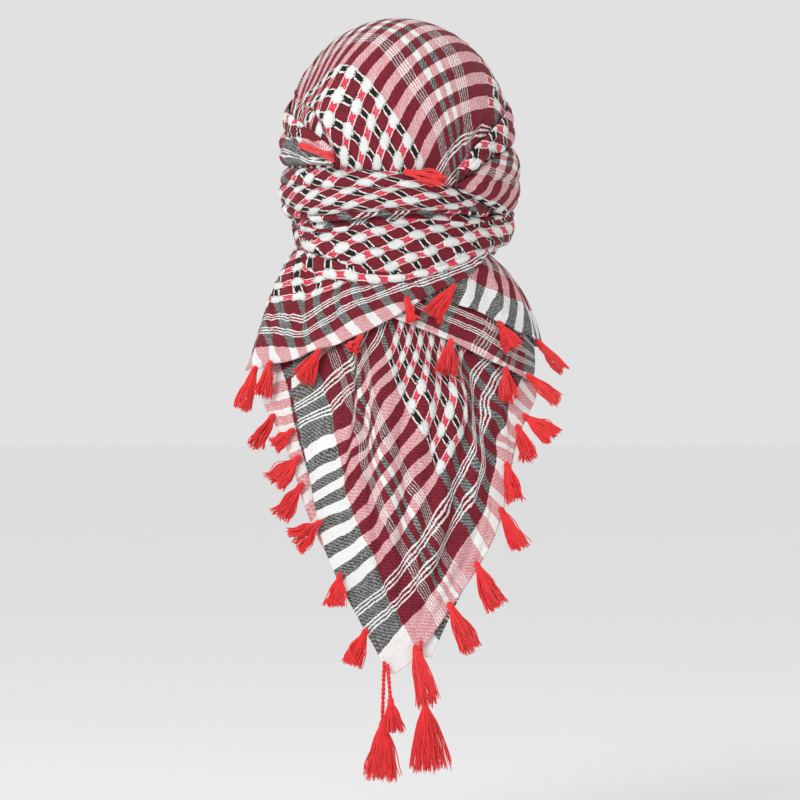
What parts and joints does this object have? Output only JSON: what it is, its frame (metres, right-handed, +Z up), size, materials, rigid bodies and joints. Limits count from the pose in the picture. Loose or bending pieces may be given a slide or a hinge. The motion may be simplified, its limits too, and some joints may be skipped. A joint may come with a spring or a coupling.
{
  "type": "keffiyeh headscarf",
  "caption": "Checked keffiyeh wound round the head and lower face, with an eye opening, hanging flaps, a pointed tail down the back and tassels along its hems.",
  "frame": {"origin": "the inner top of the crown, where the wearer's head carries the scarf", "axes": "+Z up, +Y the way the wearer faces, +X towards the wearer's right; the wearer's back is on the -Y side"},
  "size_m": [0.2652, 0.2673, 0.6017],
  "materials": {
    "checked_cotton": "matt woven cotton in maroon, white and black checks",
    "checked_cotton_pale": "matt woven cotton, the paler pink and white stretches of the same check",
    "red_yarn": "soft bright red tassel yarn"
  },
  "bodies": {
    "root": {"crown": "checked_cotton", "brow_roll": "checked_cotton_pale", "corner_end": "checked_cotton", "upper_wrap": "checked_cotton", "right_wrap": "checked_cotton_pale", "lower_wrap": "checked_cotton", "mask": "checked_cotton_pale", "right_flap_over": "checked_cotton", "right_flap_under": "checked_cotton_pale", "tail_over": "checked_cotton", "tail_under": "checked_cotton_pale", "tassel_tuck_left": "red_yarn", "tassel_tuck_mid": "red_yarn", "tassel_left_hem_a": "red_yarn", "tassel_left_hem_b": "red_yarn", "tassel_left_corner_a": "red_yarn", "tassel_left_corner_b": "red_yarn", "tassel_under_left_a": "red_yarn", "tassel_under_left_b": "red_yarn", "tassel_under_left_c": "red_yarn", "tassel_under_left_d": "red_yarn", "tassel_tail_left_a": "red_yarn", "tassel_tail_left_b": "red_yarn", "tassel_tail_left_c": "red_yarn", "tassel_tip_left_b": "red_yarn", "tassel_tip_left_a": "red_yarn", "tassel_tip_right_b": "red_yarn", "tassel_tip_right_a": "red_yarn", "tassel_tail_right_a": "red_yarn", "tassel_tail_right_b": "red_yarn", "tassel_tail_right_c": "red_yarn", "tassel_tail_right_d": "red_yarn", "tassel_tail_right_e": "red_yarn", "tassel_tail_right_f": "red_yarn", "tassel_right_hem_a": "red_yarn", "tassel_right_hem_b": "red_yarn", "tassel_right_hem_c": "red_yarn", "tassel_right_over_a": "red_yarn", "tassel_right_over_b": "red_yarn", "tassel_right_over_c": "red_yarn", "tassel_centre": "red_yarn"}
  },
  "joints": []
}
